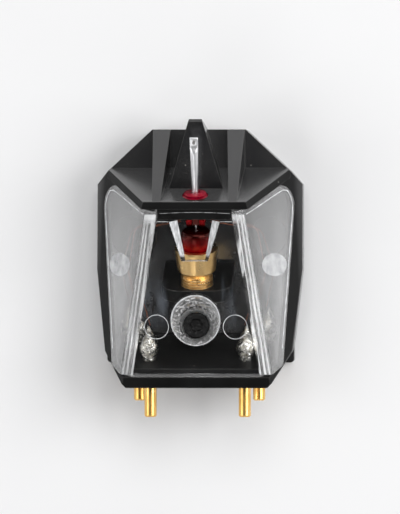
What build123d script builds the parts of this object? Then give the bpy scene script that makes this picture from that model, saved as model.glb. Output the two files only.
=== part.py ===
"""Moving-coil turntable cartridge, stored on its mounting face with the stylus up.

X is across, Y runs to the front (the stylus end), Z is up from the mounting face.
The origin is on the mounting face, midway between the two headshell holes.
"""

import os
from math import cos, pi, radians, sin, tan

from build123d import *

os.makedirs("parts", exist_ok=True)

# Headshell holes and their threaded inserts
hole_pitch = 12.7
insert_bore_r = 1.05
insert_r = 1.6
insert_depth = 3.6
boss_wall = 0.35
boss_cap = 0.5

# Plan of the moulding: half widths and the stations along Y where they hold
nose_half, nose_y = 4.68, 10.67
shoulder_half, shoulder_y = 9.15, 6.5
side_half, side_front_y = 10.3, 5.2
side_rear_y = -3.3
tail_half, tail_y = 9.35, -11.5
rear_half, rear_y = 7.45, -15.15
rear_cut = 0.4

# Heights
floor_z = 2.2
flange_z = 5.0
bar_z, bar_y = 13.2, 3.4
sill_z, sill_y, sill_rise = 4.6, 2.9, 0.19
roof_step, roof_y, roof_angle = 0.1, 1.4, 11.5
roof_z = bar_z - roof_step

# Tilt of the bulkhead and of the generator axis, and rake of the rear wall
tilt = 22.5
rake = 27.0
bar_half = 5.1
bar_thick = 0.95
bar_drop = 0.4
bulk_sink = 0.3

# Clear cover
ridge_half, ridge_spread = 5.1, 0.1633
ridge_band, ridge_drop = 1.3, 0.6
cover_foot_half = 9.55
cover_roof = 0.85
cover_post = 1.2
cover_foot = 0.55
sill_wall = 1.1
block_inset = 1.4
cover_corner = 1.9
rear_rim = 1.05
cover_rear_y = rear_y + rear_rim
cover_gap = 0.04
notch_front_half, notch_rear_half, notch_long = 3.8, 1.3, 4.0
notch_front_draft, notch_rear_draft = 1.3, 0.3

# Cover screw and its post, with heights measured down from the front of the roof
screw_y = -8.9
sink_top_r, sink_foot_r, sink_fall = 2.45, 1.45, 3.15
seat_fall = 3.95
cover_boss_r, boss_fall = 1.75, 4.75
sink_foot_z = roof_z - sink_fall
seat_z = roof_z - seat_fall
cover_boss_z = roof_z - boss_fall
head_r, head_high, head_chamfer = 1.3, 0.85, 0.13
shank_r, shank_length, hole_spare = 0.75, 3.2, 0.4
screw_gap = 0.1
post_r = 1.9
socket_flats, socket_depth = 1.3, 0.5

# Generator: distances back along the axis from its mouth in the bulkhead
axis_y = 4.05
bore_r = 1.3
fit = 0.04
seal_front, seal_rear, seal_hole_r, seal_dish = -0.12, 0.85, 0.53, 0.2
ledge_half, ledge_up, ledge_down, ledge_rear = 3.7, 1.4, 3.2, 2.05
former_front, former_rear, former_half = 2.4, 3.1, 0.3
coil_r, coil_long, coil_sides, arm_r, arm_long = 0.62, 0.6, 16, 0.2, 1.02
wire_r, wire_end = 0.1, 4.9
bush_front, bush_rear, bush_r, bush_hole_r = 3.65, 5.9, 1.48, 0.24
bush_shoulder, bush_shoulder_r, bush_dome = 3.85, 0.95, 0.7
bush_gap = 0.12
cup_front, cup_taper, cup_rear = 5.6, 7.85, 8.4
cup_mouth_r, cup_waist_r, cup_bore_r = 2.15, 1.92, 1.64
thread_r, thread_root_r, thread_pitch, thread_turns = 1.6, 1.44, 0.3, 3
thread_start, thread_step = 8.45, 0.1
sleeve_end = 11.2
pole_rear = 6.5
magnet_rear = 7.6
block_front, block_thick, block_half, block_up = 9.45, 1.25, 3.5, 1.95
block_high, block_round = 9.6, 1.9

# Cantilever and stylus
cane_root_r = 0.32
cane_tip = 6.12
paddle_half, paddle_thick, paddle_long, paddle_blend = 0.41, 0.26, 0.85, 0.7
stylus_back = 0.42
stylus_r, stylus_shank, stylus_cone, stylus_tip_r = 0.15, 0.28, 0.26, 0.02

# Contact pins
pin_r, pin_chamfer = 0.61, 0.14
pin_neck_r, pin_clear = 0.4, 1.5
inner_x, inner_z, inner_free = 4.71, 7.3, 2.92
outer_x, outer_z, outer_free = 5.98, 3.9, 1.33
wall_deep = 2.95
wall_inner_y = rear_y + wall_deep
wall_thick = 4.0
tail_long = 1.8
solder_off, solder_neck_r, solder_sides = 0.28, 0.5, 10
solder_belly, solder_r = 1.3, 0.98
solder_long, solder_tip_r = 3.3, 0.2
lead_r, lead_sides = 0.04, 6
lead_bend = 1.4
lead_start_x = 1.45
inner_up, inner_route = 0.25, [(5.5, 1.0, 8.8), (6.3, -3.6, 7.6)]
outer_up, outer_route = -0.3, [(5.9, 0.6, 7.9), (7.1, -3.4, 5.6)]

# Front prow, gusset ribs and rear feet
prow_root_half, prow_tip_half = 2.75, 0.64
prow_root_y, prow_root_z = 4.6, 10.1
prow_tip_y, prow_tip_z, prow_foot_z = 11.6, 11.5, 1.6
prow_draft, prow_edge = -0.2, 0.25
rib_inner, rib_outer, rib_top_inner, rib_top_outer = 2.85, 4.6, 3.4, 4.2
foot_inner, foot_outer, foot_y, foot_high = 8.3, 9.4, -12.7, 2.0
foot_long, foot_round = 4.7, 0.4

cos_t, sin_t, tan_t = cos(radians(tilt)), sin(radians(tilt)), tan(radians(tilt))
roof_slope = tan(radians(roof_angle))
rake_slope = tan(radians(rake))


def front_y(z):
    """Front face of the bulkhead at a height."""
    return bar_y + (bar_z - z) * tan_t


def sill(y):
    """Height of the side sills, which rise towards the rear."""
    return sill_z + (sill_y - y) * sill_rise


def roof(y):
    """Outer height of the cover's roof."""
    return roof_z + (y - roof_y) * roof_slope


def ridge(y):
    """Half width of the cover's roof, which spreads towards the rear."""
    return ridge_half + (roof_y - y) * ridge_spread


def rear_face(z, top_y):
    """Raked plane through the roof line at a station."""
    return top_y + (roof(top_y) - z) * rake_slope


# The side facet is the plane through the ridge and the front end of the cover's foot
foot_lean = (cover_foot_half - ridge(sill_y)) / (sill_z - roof(sill_y) + ridge_drop)


def facet_x(y, z):
    """Half width of the side facets that the cover and the body share."""
    return ridge(y) + (z - roof(y) + ridge_drop) * foot_lean


def section(y, roof_in=0.0, post_in=0.0, foot_in=0.0):
    """Cross-section of the cover's outer or inner shape at a station."""
    top, low = roof(y) - roof_in, 0.0
    half_top = facet_x(y, top) - post_in
    half_low = facet_x(y, low) - foot_in
    return [(-half_low, low), (half_low, low), (half_top, top), (-half_top, top)]


def back_face(z):
    """Rear face of the bulkhead at a height."""
    return front_y(z) - bar_thick


def sill_meet(y_at_zero, slope):
    """Where a leaning line meets the sill, as Y and Z."""
    z = (sill_z + (sill_y - y_at_zero) * sill_rise) / (1 - slope * sill_rise)
    return y_at_zero - z * slope, z


def on_axis(back, up=0.0):
    """Y and Z of a point measured back along the generator axis and up from it."""
    y = axis_y - back * cos_t - up * sin_t
    z = axis_z - back * sin_t + up * cos_t
    return y, z


def both_sides(points):
    """Half outline and its mirror image as one loop."""
    return points + [(-x, y) for x, y in reversed(points)]


axis_z = bar_z - (axis_y - bar_y) / tan_t
axis_origin = Vector(0, axis_y, axis_z)
back_dir = Vector(0, -cos_t, -sin_t)
axis_back = Plane(origin=axis_origin, x_dir=(1, 0, 0), z_dir=back_dir)
axis_side = Plane(origin=axis_origin, x_dir=back_dir, z_dir=(-1, 0, 0))
gen_axis = Axis(axis_origin, back_dir)
station_front, station_rear = 12.0, -17.0
wide = side_half + 2

plan_points = [
    (nose_half, nose_y),
    (shoulder_half, shoulder_y),
    (side_half, side_front_y),
    (side_half, side_rear_y),
    (tail_half, tail_y),
    (rear_half, rear_y + rear_cut),
    (rear_half - rear_cut, rear_y),
]


def pin_face(z):
    """Inner face of the rear wall, parallel to its raked outside."""
    return wall_inner_y + (inner_z - z) * rake_slope


def flat_sided(rings):
    """Closed solid with flat faces through rings of points."""
    faces = [Face(Wire.make_polygon(ring)) for ring in (rings[0], rings[-1])]
    for first, second in zip(rings, rings[1:]):
        for n in range(len(first)):
            faces.append(Face(Wire.make_polygon([first[n - 1], first[n], second[n], second[n - 1]])))
    return Solid(Shell(faces))


def along_y(*insets):
    """Flat-sided solid from the cover's section, set in, between the two far stations."""
    stations = (station_front, station_rear)
    return flat_sided([[(x, y, z) for x, z in section(y, *insets)] for y in stations])


with BuildSketch(Plane.XY) as plan:
    with BuildLine():
        Polyline(both_sides(plan_points), close=True)
    make_face()

with BuildSketch(Plane.XY) as plan_inner:
    add(plan.sketch)
    offset(amount=-sill_wall, kind=Kind.INTERSECTION)

# Hood: the outer shape that the cover and the rear wall share
with BuildPart() as hood:
    add(along_y())

# Core: the hood less the width of the sills
with BuildPart() as core:
    add(along_y(0, sill_wall, sill_wall))

# Side profile of the cover, which stands on the sills between bulkhead and rear wall
cover_front = sill_meet(back_face(0) - cover_gap, tan_t)
cover_rear = sill_meet(rear_face(0, cover_rear_y + cover_gap), rake_slope)
high_z = bar_z + 2
with BuildSketch(Plane.YZ) as cover_profile:
    with BuildLine():
        Polyline(
            [
                cover_front,
                (back_face(high_z) - cover_gap, high_z),
                (rear_face(high_z, cover_rear_y + cover_gap), high_z),
                cover_rear,
            ],
            close=True,
        )
    make_face()
    fillet(cover_profile.vertices().sort_by(Axis.X)[-1], radius=cover_corner)

# Bulkhead: a trapezoid seen from the front, a leaning wall seen from the side
bulk_low = flange_z - bulk_sink
shoulder_run = (shoulder_half - bar_half) / (bar_z - flange_z)
with BuildPart() as bulkhead:
    with BuildSketch(Plane.XZ):
        with BuildLine():
            low_half = bar_half + (bar_z - bulk_low) * shoulder_run
            Polyline(both_sides([(bar_half, bar_z), (low_half, bulk_low)]), close=True)
        make_face()
    extrude(amount=nose_y, both=True)
    with BuildSketch(Plane.YZ):
        with BuildLine():
            Polyline(
                [
                    (bar_y, bar_z),
                    (front_y(bulk_low), bulk_low),
                    (back_face(bulk_low), bulk_low),
                    (back_face(bar_z - bar_drop), bar_z - bar_drop),
                ],
                close=True,
            )
        make_face()
    extrude(amount=wide, both=True, mode=Mode.INTERSECT)
    extrude(plan.sketch, amount=bar_z, mode=Mode.INTERSECT)

# Gusset ribs: drafted walls whose long edge runs from the flange to the bar
with BuildPart() as ribs:
    with BuildSketch(Plane.XZ):
        with BuildLine():
            Polyline(
                [
                    (rib_inner, flange_z),
                    (rib_outer, flange_z),
                    (rib_top_outer, bar_z),
                    (rib_top_inner, bar_z),
                ],
                close=True,
            )
        make_face()
        mirror(about=Plane.YZ)
    extrude(amount=-nose_y)
    with BuildSketch(Plane.YZ):
        with BuildLine():
            Polyline([(nose_y, flange_z), (bar_y, bar_z), (bar_y, flange_z)], close=True)
        make_face()
    extrude(amount=wide, both=True, mode=Mode.INTERSECT)

# Prow: a wedge in plan with a rising top and a raked stem
with BuildPart() as prow:
    for level, more in ((0, prow_draft), (prow_tip_z, 0)):
        with BuildSketch(Plane.XY.offset(level)):
            with BuildLine():
                Polyline(
                    both_sides([(prow_root_half + more, prow_root_y), (prow_tip_half + more, prow_tip_y)]),
                    close=True,
                )
            make_face()
    loft(ruled=True)
    with BuildSketch(Plane.YZ):
        with BuildLine():
            Polyline(
                [
                    (prow_root_y, prow_root_z),
                    (prow_root_y, prow_foot_z),
                    (nose_y, prow_foot_z),
                    (prow_tip_y, prow_tip_z - prow_edge),
                    (prow_tip_y - prow_edge, prow_tip_z),
                ],
                close=True,
            )
        make_face()
    extrude(amount=wide, both=True, mode=Mode.INTERSECT)

# Rear wall: the cover's own outline between two raked planes
with BuildPart() as rear_wall:
    add(hood.part)
    with BuildSketch(Plane.YZ):
        with BuildLine():
            Polyline(
                [
                    (cover_rear_y, roof(cover_rear_y)),
                    (rear_y, roof(rear_y)),
                    (rear_face(floor_z, rear_y), floor_z),
                    (rear_face(floor_z, cover_rear_y), floor_z),
                ],
                close=True,
            )
        make_face()
    extrude(amount=wide, both=True, mode=Mode.INTERSECT)
    extrude(plan.sketch, amount=bar_z, mode=Mode.INTERSECT)

# Pin block: the part of the rear wall that stands inside the cover
seat = cover_roof / cos(radians(roof_angle)) + cover_gap
with BuildPart() as pin_block:
    add(along_y(seat, block_inset, block_inset))
    with BuildSketch(Plane.YZ):
        with BuildLine():
            Polyline(
                [
                    (pin_face(bar_z), bar_z),
                    (rear_face(bar_z, cover_rear_y) - cover_gap, bar_z),
                    (rear_face(floor_z, cover_rear_y) - cover_gap, floor_z),
                    (pin_face(floor_z), floor_z),
                ],
                close=True,
            )
        make_face()
    extrude(amount=wide, both=True, mode=Mode.INTERSECT)
    extrude(plan_inner.sketch, amount=high_z, mode=Mode.INTERSECT)

# Well under the cover, bounded by the bulkhead, the sills and the rear wall
with BuildPart() as well:
    add(core.part)
    with BuildSketch(Plane.YZ):
        with BuildLine():
            Polyline(
                [
                    (back_face(floor_z), floor_z),
                    (back_face(high_z), high_z),
                    (pin_face(high_z), high_z),
                    (pin_face(floor_z), floor_z),
                ],
                close=True,
            )
        make_face()
    extrude(amount=wide, both=True, mode=Mode.INTERSECT)
    extrude(plan_inner.sketch, amount=high_z, mode=Mode.INTERSECT)

# Corner webs: they fill the space left by the cover's rounded front corners
with BuildPart() as webs:
    add(hood.part)
    add(core.part, mode=Mode.SUBTRACT)
    with BuildSketch(Plane.YZ):
        with BuildLine():
            web_y, web_z = sill_meet(back_face(0), tan_t)
            web_top = web_z + 2 * cover_corner
            web_back = web_y - 2 * cover_corner
            web_corners = [(web_y, web_z), (back_face(web_top), web_top), (web_back, sill(web_back))]
            Polyline(web_corners, close=True)
        make_face()
    extrude(amount=wide, both=True, mode=Mode.INTERSECT)
    extrude(plan.sketch, amount=bar_z, mode=Mode.INTERSECT)
    extrude(cover_profile.sketch, amount=wide, both=True, mode=Mode.SUBTRACT)

# Body: the black moulding, from its plan and side profile
with BuildPart() as body:
    extrude(plan.sketch, amount=bar_z)
    with BuildSketch(Plane.YZ):
        with BuildLine():
            Polyline(
                [
                    (nose_y, 0),
                    (nose_y, flange_z),
                    (back_face(flange_z), flange_z),
                    sill_meet(back_face(0), tan_t),
                    sill_meet(rear_face(0, rear_y), rake_slope),
                    (rear_face(0, rear_y), 0),
                ],
                close=True,
            )
        make_face()
    extrude(amount=wide, both=True, mode=Mode.INTERSECT)
    add(hood.part, mode=Mode.INTERSECT)
    add(well.part, mode=Mode.SUBTRACT)
    add(bulkhead.part)
    add(ribs.part)
    add(prow.part)
    add(rear_wall.part)
    add(pin_block.part)
    add(webs.part)
    # Ledge behind the bar, and the block that holds the generator
    with BuildSketch(axis_back.offset(bar_thick / 2)):
        with Locations((0, (ledge_up - ledge_down) / 2)):
            Rectangle(2 * ledge_half, ledge_up + ledge_down)
    extrude(amount=ledge_rear - bar_thick / 2)
    with BuildSketch(axis_back.offset(block_front)):
        with Locations((0, block_up - block_high / 2)):
            RectangleRounded(2 * block_half, block_high, block_round)
    extrude(amount=block_thick)
    # Post for the cover screw
    with BuildSketch(Plane.XY.offset(floor_z)):
        with Locations((0, screw_y)):
            Circle(post_r)
    extrude(amount=cover_boss_z - cover_gap - floor_z)
    # Bosses round the headshell inserts
    with BuildSketch(Plane.XY):
        with Locations((-hole_pitch / 2, 0), (hole_pitch / 2, 0)):
            Circle(insert_r + boss_wall)
    extrude(amount=insert_depth + boss_cap)
    # Rear feet at the mounting level
    with BuildSketch(Plane.XY):
        with Locations(((foot_inner + foot_outer) / 2, foot_y + foot_long / 2)):
            RectangleRounded(foot_outer - foot_inner, foot_long, foot_round)
        mirror(about=Plane.YZ)
    extrude(amount=foot_high)
    # Bores for the seal, the sleeve, the inserts, the screw and the contacts
    with BuildSketch(axis_back.offset(-bore_r)):
        Circle(bore_r)
    extrude(amount=ledge_rear + 2 * bore_r, mode=Mode.SUBTRACT)
    with BuildSketch(axis_back.offset(block_front - fit)):
        Circle(thread_r + fit)
    extrude(amount=block_thick + 2 * fit, mode=Mode.SUBTRACT)
    with BuildSketch(Plane.XY):
        with Locations((-hole_pitch / 2, 0), (hole_pitch / 2, 0)):
            Circle(insert_r)
    extrude(amount=insert_depth, mode=Mode.SUBTRACT)
    with BuildSketch(Plane.XY.offset(cover_boss_z)):
        with Locations((0, screw_y)):
            Circle(shank_r)
    extrude(amount=seat_z - cover_boss_z - shank_length - hole_spare, mode=Mode.SUBTRACT)
    for pin_x, pin_z in ((inner_x, inner_z), (outer_x, outer_z)):
        with BuildSketch(Plane.XZ.offset(-pin_face(pin_z) - pin_r)):
            with Locations((-pin_x, pin_z), (pin_x, pin_z)):
                Circle(pin_neck_r)
        extrude(amount=wall_thick + pin_r, mode=Mode.SUBTRACT)
body.part.label = "body"
export_step(body.part, "parts/body.step")

# Clear cover: roof and two side facets, walls thickest along the ridges
roof_plane = Plane(
    origin=(0, roof_y, roof_z),
    x_dir=(1, 0, 0),
    z_dir=(0, -sin(radians(roof_angle)), cos(radians(roof_angle))),
)
sink_slope = (sink_top_r - sink_foot_r) / (roof(screw_y) - sink_foot_z)
with BuildPart() as clear_cover:
    bands = []
    for y in (station_front, station_rear):
        half, top = ridge(y), roof(y)
        outline = [(facet_x(y, 0), 0), (half, top - ridge_drop), (half - ridge_band, top)]
        bands.append([(x, y, z) for x, z in both_sides(outline)])
    add(flat_sided(bands))
    for station in (station_front, station_rear):
        with BuildSketch(Plane.XZ.offset(-station)):
            with BuildLine():
                Polyline(section(station, seat - cover_gap, cover_post, cover_foot), close=True)
            make_face()
    loft(ruled=True, mode=Mode.SUBTRACT)
    with BuildSketch(Plane.XY.offset(cover_boss_z)):
        with Locations((0, screw_y)):
            Circle(cover_boss_r)
    extrude(amount=bar_z - cover_boss_z)
    add(hood.part, mode=Mode.INTERSECT)
    extrude(cover_profile.sketch, amount=wide, both=True, mode=Mode.INTERSECT)
    # Recess for the ledge and the notch over the generator
    with BuildSketch(Plane.XY.offset(sink_foot_z)):
        with Locations((0, roof_y + nose_y / 2)):
            Rectangle(2 * (ledge_half + cover_gap), nose_y)
    extrude(amount=bar_z, mode=Mode.SUBTRACT)
    for depth in (-cover_roof, 2 * cover_roof):
        front_ease = notch_front_draft * depth / cover_roof
        rear_ease = notch_rear_draft * depth / cover_roof
        rear_corner = (notch_rear_half - rear_ease, -notch_long)
        notch = [rear_corner, (notch_front_half - front_ease, notch_long)]
        with BuildSketch(roof_plane.offset(-depth)):
            with BuildLine():
                Polyline(both_sides(notch), close=True)
            make_face()
    loft(ruled=True, mode=Mode.SUBTRACT)
    # Countersink, seat and hole for the screw
    with BuildSketch(Plane.XZ.offset(-screw_y)):
        with BuildLine():
            Polyline(
                [
                    (0, cover_boss_z),
                    (shank_r + screw_gap, cover_boss_z),
                    (shank_r + screw_gap, seat_z),
                    (sink_foot_r, seat_z),
                    (sink_foot_r, sink_foot_z),
                    (sink_foot_r + (bar_z - sink_foot_z) * sink_slope, bar_z),
                    (0, bar_z),
                ],
                close=True,
            )
        make_face()
    revolve(axis=Axis((0, screw_y, 0), (0, 0, 1)), mode=Mode.SUBTRACT)
clear_cover.part.label = "clear_cover"
export_step(clear_cover.part, "parts/clear_cover.step")

# Cover screw: cheese head with a hexagon socket
with BuildPart() as cover_screw:
    with BuildSketch(Plane.XY.offset(seat_z)):
        with Locations((0, screw_y)):
            Circle(head_r)
    extrude(amount=head_high)
    chamfer(cover_screw.edges().group_by(Axis.Z)[-1], length=head_chamfer)
    with BuildSketch(Plane.XY.offset(seat_z)):
        with Locations((0, screw_y)):
            Circle(shank_r)
    extrude(amount=-shank_length)
    with BuildSketch(Plane.XY.offset(seat_z + head_high)):
        with Locations((0, screw_y)):
            RegularPolygon(radius=socket_flats / 2, side_count=6, major_radius=False)
    extrude(amount=-socket_depth, mode=Mode.SUBTRACT)
cover_screw.part.label = "cover_screw"
export_step(cover_screw.part, "parts/cover_screw.step")

# Headshell inserts: threaded brass bushes, open at the mounting face
with BuildPart() as mount_inserts:
    with BuildSketch(Plane.XY):
        with Locations((-hole_pitch / 2, 0), (hole_pitch / 2, 0)):
            Circle(insert_r)
            Circle(insert_bore_r, mode=Mode.SUBTRACT)
    extrude(amount=insert_depth)
mount_inserts.part.label = "mount_inserts"
export_step(mount_inserts.part, "parts/mount_inserts.step")

# Front seal: a soft ring in the bulkhead bore, clear of the cantilever
with BuildPart() as front_seal:
    with BuildSketch(axis_side):
        with BuildLine():
            Polyline(
                [
                    (seal_front + seal_dish, seal_hole_r),
                    (seal_front, (seal_hole_r + bore_r) / 2),
                    (seal_front + seal_dish, bore_r - fit / 2),
                    (seal_rear, bore_r - fit / 2),
                    (seal_rear, seal_hole_r),
                ],
                close=True,
            )
        make_face()
    revolve(axis=gen_axis)
front_seal.part.label = "front_seal"
export_step(front_seal.part, "parts/front_seal.step")

# Generator sleeve: a brass cup with a threaded spigot
with BuildPart() as generator_sleeve:
    with BuildSketch(axis_side):
        with BuildLine():
            Polyline(
                [
                    (cup_front, cup_bore_r),
                    (cup_front, cup_mouth_r),
                    (cup_taper, cup_waist_r),
                    (cup_rear, thread_root_r),
                    (thread_start, thread_root_r),
                    (thread_start + thread_step, thread_r),
                    (sleeve_end, thread_r),
                    (sleeve_end, 0),
                    (magnet_rear, 0),
                    (magnet_rear, cup_bore_r),
                ],
                close=True,
            )
        make_face()
        with Locations([(thread_start + thread_pitch * (n + 1), thread_r) for n in range(thread_turns)]):
            RegularPolygon(radius=thread_r - thread_root_r, side_count=3, rotation=-90, mode=Mode.SUBTRACT)
    revolve(axis=gen_axis)
generator_sleeve.part.label = "generator_sleeve"
export_step(generator_sleeve.part, "parts/generator_sleeve.step")

# Pole piece and magnet inside the sleeve
with BuildPart() as pole_piece:
    with BuildSketch(axis_back.offset(bush_rear + bush_gap)):
        Circle(cup_bore_r - fit)
    extrude(amount=pole_rear - bush_rear - bush_gap)
pole_piece.part.label = "pole_piece"
export_step(pole_piece.part, "parts/pole_piece.step")

with BuildPart() as magnet:
    with BuildSketch(axis_back.offset(pole_rear)):
        Circle(cup_bore_r - fit)
    extrude(amount=magnet_rear - pole_rear)
magnet.part.label = "magnet"
export_step(magnet.part, "parts/magnet.step")

# Suspension bush: the translucent soft ring in the mouth of the sleeve
with BuildPart() as suspension_bush:
    with BuildSketch(axis_side):
        with BuildLine():
            Polyline(
                [
                    (bush_front, bush_hole_r),
                    (bush_front, former_half),
                    (bush_shoulder, bush_shoulder_r),
                    (bush_front + bush_dome, bush_r),
                    (bush_rear, bush_r),
                    (bush_rear, bush_hole_r),
                ],
                close=True,
            )
        make_face()
    revolve(axis=gen_axis)
suspension_bush.part.label = "suspension_bush"
export_step(suspension_bush.part, "parts/suspension_bush.step")

# Coil former: a small cross, and the two coils on its arms
former_mid = (former_front + former_rear) / 2
arm_plane = Plane(origin=axis_back.offset(former_mid).origin, x_dir=back_dir, z_dir=(1, 0, 0))
with BuildPart() as coil_former:
    with BuildSketch(axis_back.offset(former_front)):
        Rectangle(2 * former_half, 2 * former_half)
    extrude(amount=former_rear - former_front)
    with BuildSketch(arm_plane):
        Circle(arm_r)
    extrude(amount=arm_long, both=True)
coil_former.part.label = "coil_former"
export_step(coil_former.part, "parts/coil_former.step")

with BuildPart() as coil_left:
    with BuildSketch(arm_plane.offset(-former_half - fit)):
        RegularPolygon(radius=coil_r, side_count=coil_sides)
        Circle(arm_r, mode=Mode.SUBTRACT)
    extrude(amount=-coil_long)
coil_left.part.label = "coil_left"
export_step(coil_left.part, "parts/coil_left.step")

with BuildPart() as coil_right:
    with BuildSketch(arm_plane.offset(former_half + fit)):
        RegularPolygon(radius=coil_r, side_count=coil_sides)
        Circle(arm_r, mode=Mode.SUBTRACT)
    extrude(amount=coil_long)
coil_right.part.label = "coil_right"
export_step(coil_right.part, "parts/coil_right.step")

# Suspension wire: ties the former to the middle of the bush
with BuildPart() as suspension_wire:
    with BuildSketch(axis_back.offset(former_rear)):
        Circle(wire_r)
    extrude(amount=wire_end - former_rear)
suspension_wire.part.label = "suspension_wire"
export_step(suspension_wire.part, "parts/suspension_wire.step")

# Cantilever: a tapered tube pressed flat at its tip
with BuildPart() as cantilever:
    flat_start = -cane_tip + paddle_long
    with BuildSketch(axis_side):
        with BuildLine():
            tube = [(former_front, cane_root_r), (flat_start, paddle_half), (-cane_tip, paddle_half)]
            Polyline([(former_front, 0), *tube, (-cane_tip, 0)], close=True)
        make_face()
    revolve(axis=gen_axis)
    with BuildSketch(axis_side):
        with BuildLine():
            flat = [(-cane_tip, paddle_thick / 2), (flat_start, paddle_thick / 2)]
            Polyline(
                [
                    *flat,
                    (flat_start + paddle_blend, paddle_half),
                    (former_front, paddle_half),
                    (former_front, -paddle_half),
                    (flat_start + paddle_blend, -paddle_half),
                    (flat_start, -paddle_thick / 2),
                    (-cane_tip, -paddle_thick / 2),
                ],
                close=True,
            )
        make_face()
    extrude(amount=paddle_half, both=True, mode=Mode.INTERSECT)
cantilever.part.label = "cantilever"
export_step(cantilever.part, "parts/cantilever.step")

# Stylus: a shank and a cone on the record side of the paddle
stylus_y, stylus_z = on_axis(-cane_tip + stylus_back, paddle_thick / 2)
stylus_plane = Plane(origin=(0, stylus_y, stylus_z), x_dir=(1, 0, 0), z_dir=(0, -sin_t, cos_t))
with BuildPart() as stylus:
    with BuildSketch(stylus_plane):
        Circle(stylus_r)
    extrude(amount=stylus_shank)
    with Locations(stylus_plane.offset(stylus_shank)):
        Cone(stylus_r, stylus_tip_r, stylus_cone, align=(Align.CENTER, Align.CENTER, Align.MIN))
stylus.part.label = "stylus"
export_step(stylus.part, "parts/stylus.step")

# Contacts: pin, solder and lead at each of four places
inner_lead = [(lead_start_x, *on_axis(former_mid, inner_up))] + inner_route
outer_lead = [(lead_start_x, *on_axis(former_mid, outer_up))] + outer_route
places = [
    ("left_inner", -1, inner_x, inner_z, inner_free, inner_lead),
    ("right_inner", 1, inner_x, inner_z, inner_free, inner_lead),
    ("left_outer", -1, outer_x, outer_z, outer_free, outer_lead),
    ("right_outer", 1, outer_x, outer_z, outer_free, outer_lead),
]
for place, side, pin_x, pin_z, free, route in places:
    root_y = pin_face(pin_z)
    end_y = rear_y - free
    with BuildPart() as pin:
        with BuildSketch(Plane.XZ.offset(-end_y)):
            with Locations((side * pin_x, pin_z)):
                Circle(pin_r)
        neck_y = rear_face(pin_z + pin_clear, rear_y)
        extrude(amount=end_y - neck_y)
        chamfer(pin.edges().group_by(Axis.Y)[0], length=pin_chamfer)
        with BuildSketch(Plane.XZ.offset(-neck_y)):
            with Locations((side * pin_x, pin_z)):
                Circle(pin_neck_r)
        extrude(amount=neck_y - root_y - tail_long)
    pin.part.label = f"pin_{place}"
    export_step(pin.part, f"parts/pin_{place}.step")

    with BuildPart() as solder:
        drop = ((solder_off, solder_neck_r), (solder_belly, solder_r), (solder_long, solder_tip_r))
        turns = [2 * pi * n / solder_sides for n in range(solder_sides)]
        rings = []
        for ahead, size in drop:
            y = root_y + ahead
            rings.append([(side * pin_x + size * cos(a), y, pin_z + size * sin(a)) for a in turns])
        add(flat_sided(rings))
        with BuildSketch(Plane.XZ.offset(-root_y)):
            with Locations((side * pin_x, pin_z)):
                Circle(pin_neck_r)
        extrude(amount=-tail_long, mode=Mode.SUBTRACT)
    solder.part.label = f"solder_{place}"
    export_step(solder.part, f"parts/solder_{place}.step")

    with BuildPart() as lead:
        with BuildLine() as lead_path:
            stops = route + [(pin_x, root_y + solder_long + lead_r, pin_z)]
            FilletPolyline([(side * x, y, z) for x, y, z in stops], radius=lead_bend)
        with BuildSketch(Plane(origin=lead_path.line @ 0, z_dir=lead_path.line % 0)):
            RegularPolygon(radius=lead_r, side_count=lead_sides)
        sweep(path=lead_path.line)
    lead.part.label = f"lead_{place}"
    export_step(lead.part, f"parts/lead_{place}.step")
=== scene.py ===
# %% [markdown]
# # A moving-coil cartridge, lying on its mounting face
# The solids of the cartridge come from the imported model and are the fixed frame of this lesson.
# Here they get their finishes, and the small things that a moulder, a coil winder and a solderer leave
# behind are modelled on top.

# %% Load the solids
import math

import bmesh
import bpy
from mathutils import Matrix, Vector, noise


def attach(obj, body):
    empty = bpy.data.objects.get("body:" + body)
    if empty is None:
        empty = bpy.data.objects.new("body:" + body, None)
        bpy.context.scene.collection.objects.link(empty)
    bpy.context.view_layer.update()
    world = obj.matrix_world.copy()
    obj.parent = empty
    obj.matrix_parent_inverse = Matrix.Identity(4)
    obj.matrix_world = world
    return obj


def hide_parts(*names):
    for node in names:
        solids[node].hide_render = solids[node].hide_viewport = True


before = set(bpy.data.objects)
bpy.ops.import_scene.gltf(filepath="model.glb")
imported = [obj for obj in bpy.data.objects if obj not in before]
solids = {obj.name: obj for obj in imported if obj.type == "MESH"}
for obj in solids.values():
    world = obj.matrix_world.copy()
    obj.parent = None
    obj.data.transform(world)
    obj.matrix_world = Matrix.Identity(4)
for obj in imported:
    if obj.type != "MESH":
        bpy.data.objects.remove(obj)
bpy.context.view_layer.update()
MM = 0.001

# %% [markdown]
# ## Camera
# The photograph looks straight down, with the front of the cartridge at the top of the picture, and leans
# about three degrees to the right. A long lens from 0.8 m gives the same slight perspective. The lens is set
# from the width of the view, because that is what was measured: about 40 mm across at mid height.

# %% Camera
SENSOR_WIDTH = 36.0
VIEW_WIDTH = 40.0 * MM
CAMERA_DISTANCE = 0.8
CAMERA_LEAN = math.radians(3.3)
view_target = Vector((0.16, -2.1, 6.0)) * MM
towards_camera = Vector((math.sin(CAMERA_LEAN), 0.0, math.cos(CAMERA_LEAN)))
picture_up = Vector((0.0, 1.0, 0.0))
picture_right = picture_up.cross(towards_camera)
camera_data = bpy.data.cameras.new("studio_camera")
camera_data.sensor_fit = "HORIZONTAL"
camera_data.sensor_width = SENSOR_WIDTH
camera_data.lens = SENSOR_WIDTH * CAMERA_DISTANCE / VIEW_WIDTH
camera_data.clip_start = 0.01
camera = bpy.data.objects.new("studio_camera", camera_data)
bpy.context.scene.collection.objects.link(camera)
camera_axes = Matrix((picture_right, picture_up, towards_camera)).transposed()
camera_place = Matrix.Translation(view_target + towards_camera * CAMERA_DISTANCE)
camera.matrix_world = camera_place @ camera_axes.to_4x4()
bpy.context.scene.camera = camera
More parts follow.
